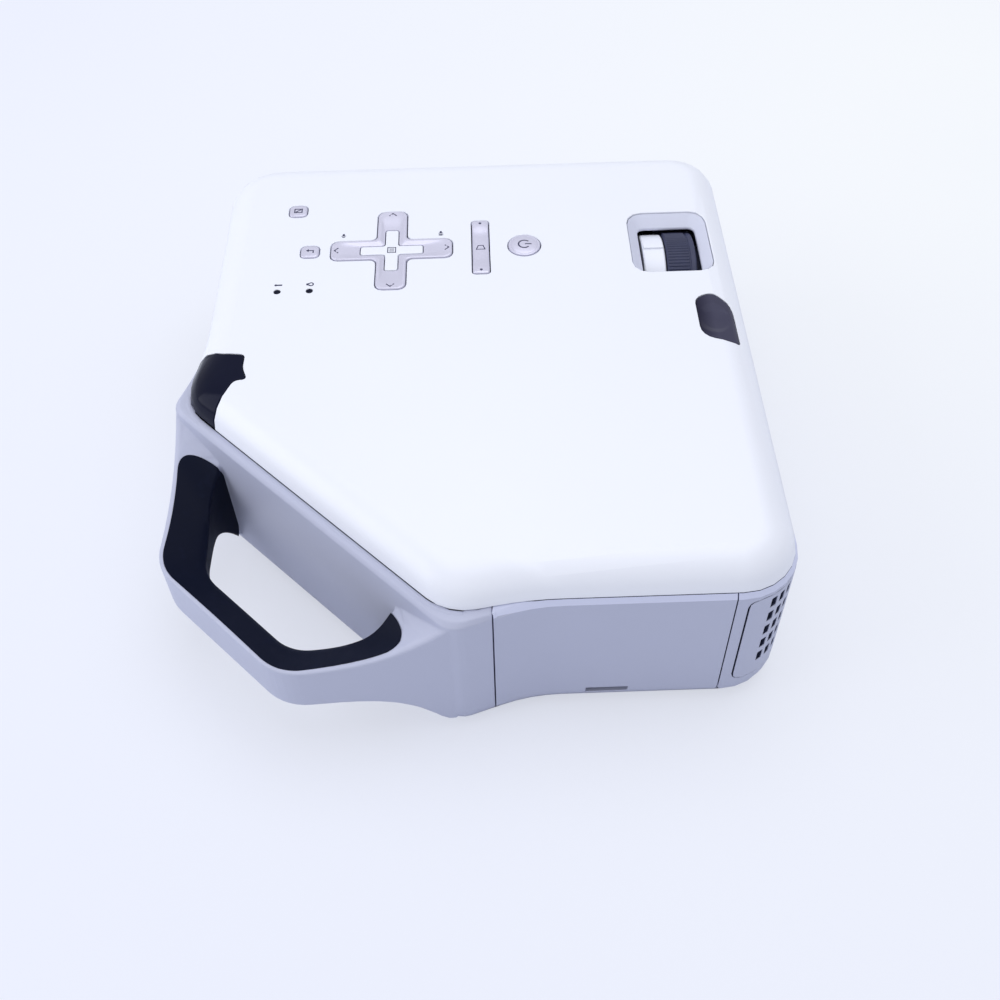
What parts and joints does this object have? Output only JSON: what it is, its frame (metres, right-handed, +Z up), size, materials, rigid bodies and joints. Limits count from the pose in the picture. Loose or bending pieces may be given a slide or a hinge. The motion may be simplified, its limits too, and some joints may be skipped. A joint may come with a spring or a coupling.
{
  "type": "portable dlp projector",
  "caption": "Portable projector with a white crowned cover, grey housing and a carrying handle across its cut corner; focus, zoom, keys, feet, fans and lamp door move.",
  "frame": {"origin": "middle of the footprint, on the plane that the feet rest on", "axes": "+X is the way the lens looks, +Y runs from the near side with the lamp door to the far side, +Z is up"},
  "size_m": [0.279, 0.3054, 0.0975],
  "materials": {
    "white_shell": "satin",
    "grey_shell": "satin",
    "light_grey": "satin",
    "soft_black": "matte",
    "dark_window": "polished",
    "silver_key": "satin",
    "dark_ring": "satin",
    "bare_metal": "brushed",
    "cast_metal": "cast",
    "board_green": "satin",
    "clear_glass": "polished",
    "rubber": "matte",
    "black_plastic": "matte"
  },
  "bodies": {
    "case": {"top_cover": "white_shell", "lower_housing": "grey_shell", "corner_handle": "grey_shell", "grip_liner": "soft_black", "exhaust_grille": "grey_shell", "front_window": "dark_window", "rear_window": "dark_window", "lens_shroud": "light_grey", "lens_barrel": "dark_ring", "recess_bezel": "light_grey", "lamp_light": "dark_window", "temperature_light": "dark_window", "lamp_housing": "bare_metal", "lamp_reflector": "clear_glass", "lamp_burner": "clear_glass", "wheel_motor": "bare_metal", "light_tunnel": "bare_metal", "optical_engine": "cast_metal", "mirror_chip_board": "board_green", "chip_heat_sink": "bare_metal", "exhaust_fan_frame": "black_plastic", "intake_fan_frame": "black_plastic", "key_board": "board_green", "key_mat": "rubber", "main_board": "board_green", "power_supply": "black_plastic", "lamp_ballast": "black_plastic", "speaker": "black_plastic", "connector_panel": "black_plastic", "mains_inlet": "black_plastic", "computer_socket": "bare_metal", "s_video_socket": "black_plastic", "video_socket": "black_plastic", "audio_socket": "black_plastic", "usb_socket": "bare_metal", "fixed_foot": "rubber", "housing_screw_1": "bare_metal", "housing_screw_2": "bare_metal", "housing_screw_3": "bare_metal"},
    "door": {"lamp_door": "grey_shell"},
    "focus": {"focus_ring": "dark_ring"},
    "front_group": {"front_lens_cell": "dark_ring", "front_lens": "clear_glass"},
    "zoom": {"zoom_ring": "white_shell"},
    "zoom_group": {"zoom_cell": "dark_ring", "zoom_lens": "clear_glass"},
    "hide": {"hide_key": "silver_key"},
    "return": {"return_key": "silver_key"},
    "power": {"power_key": "silver_key"},
    "keystone": {"keystone_key": "silver_key"},
    "pad_frame": {"pad_flexure": "bare_metal"},
    "pad": {"four_way_pad": "silver_key"},
    "menu": {"menu_key": "white_shell"},
    "wheel": {"colour_wheel": "clear_glass"},
    "exhaust_rotor": {"exhaust_fan_rotor": "black_plastic"},
    "intake_rotor": {"intake_fan_rotor": "black_plastic"},
    "front_foot": {"elevator_foot": "rubber"},
    "release": {"foot_release": "light_grey"},
    "stem": {"level_stem": "bare_metal"},
    "dial": {"level_dial": "rubber"}
  },
  "joints": [
    {"name": "lamp_door_hinge", "type": "hinge", "parent": "case", "child": "door", "pos_m": [0.0606, -0.144, 0.0795], "axis": [-1, 0, 0], "range_deg": [0, 80]},
    {"name": "focus_turn", "type": "hinge", "parent": "case", "child": "focus", "pos_m": [0.1198, 0.0715, 0.0625], "axis": [1, 0, 0], "range_deg": [-60, 60]},
    {"name": "focus_travel", "type": "slide", "parent": "case", "child": "front_group", "axis": [1, 0, 0], "range_m": [-0.003, 0.003]},
    {"name": "zoom_turn", "type": "hinge", "parent": "case", "child": "zoom", "pos_m": [0.1042, 0.0715, 0.0625], "axis": [1, 0, 0], "range_deg": [-20, 20]},
    {"name": "zoom_travel", "type": "slide", "parent": "case", "child": "zoom_group", "axis": [1, 0, 0], "range_m": [-0.005, 0.005]},
    {"name": "hide_press", "type": "slide", "parent": "case", "child": "hide", "axis": [0, 0, -1], "range_m": [0, 0.0008], "stiffness_N_per_m": 800, "springref_m": -0.0005},
    {"name": "return_press", "type": "slide", "parent": "case", "child": "return", "axis": [0, 0, -1], "range_m": [0, 0.0008], "stiffness_N_per_m": 800, "springref_m": -0.0005},
    {"name": "power_press", "type": "slide", "parent": "case", "child": "power", "axis": [0, 0, -1], "range_m": [0, 0.0008], "stiffness_N_per_m": 800, "springref_m": -0.0005},
    {"name": "keystone_rock", "type": "hinge", "parent": "case", "child": "keystone", "pos_m": [0.0103, 0.0715, 0.0925], "axis": [1, 0, 0], "range_deg": [-2.5, 2.5], "stiffness_Nm_per_rad": 0.5},
    {"name": "pad_tip_near_far", "type": "hinge", "parent": "case", "child": "pad_frame", "pos_m": [-0.035, 0.0715, 0.0933], "axis": [1, 0, 0], "range_deg": [-2.5, 2.5], "stiffness_Nm_per_rad": 0.5},
    {"name": "pad_tip_left_right", "type": "hinge", "parent": "pad_frame", "child": "pad", "pos_m": [-0.035, 0.0715, 0.0933], "axis": [0, 1, 0], "range_deg": [-2.5, 2.5], "stiffness_Nm_per_rad": 0.5},
    {"name": "menu_press", "type": "slide", "parent": "pad", "child": "menu", "axis": [0, 0, -1], "range_m": [0, 0.0008], "stiffness_N_per_m": 800, "springref_m": -0.0005},
    {"name": "colour_wheel_spin", "type": "hinge", "parent": "case", "child": "wheel", "pos_m": [0.0606, -0.0485, 0.058], "axis": [0, 1, 0], "continuous": true},
    {"name": "exhaust_fan_spin", "type": "hinge", "parent": "case", "child": "exhaust_rotor", "pos_m": [0.1193, -0.0845, 0.042], "axis": [1, 0, 0], "continuous": true},
    {"name": "intake_fan_spin", "type": "hinge", "parent": "case", "child": "intake_rotor", "pos_m": [0.0778, 0.1375, 0.042], "axis": [0, 1, 0], "continuous": true},
    {"name": "front_foot_drop", "type": "slide", "parent": "case", "child": "front_foot", "axis": [0, 0, -1], "range_m": [0, 0.035]},
    {"name": "foot_release_press", "type": "slide", "parent": "case", "child": "release", "axis": [-1, 0, 0], "range_m": [0, 0.002], "stiffness_N_per_m": 600, "springref_m": -0.001},
    {"name": "stem_drop", "type": "slide", "parent": "case", "child": "stem", "axis": [0, 0, -1], "range_m": [0, 0.004]},
    {"name": "dial_turn", "type": "hinge", "parent": "stem", "child": "dial", "pos_m": [-0.0998, 0.117, 0], "axis": [0, 0, 1], "range_deg": [0, 720]}
  ],
  "couplings": [
    {"joint": "focus_travel", "follows": "focus_turn", "m_per_rad": 0.00286},
    {"joint": "zoom_travel", "follows": "zoom_turn", "m_per_rad": 0.0143},
    {"joint": "dial_turn", "follows": "stem_drop", "rad_per_m": 3141}
  ]
}
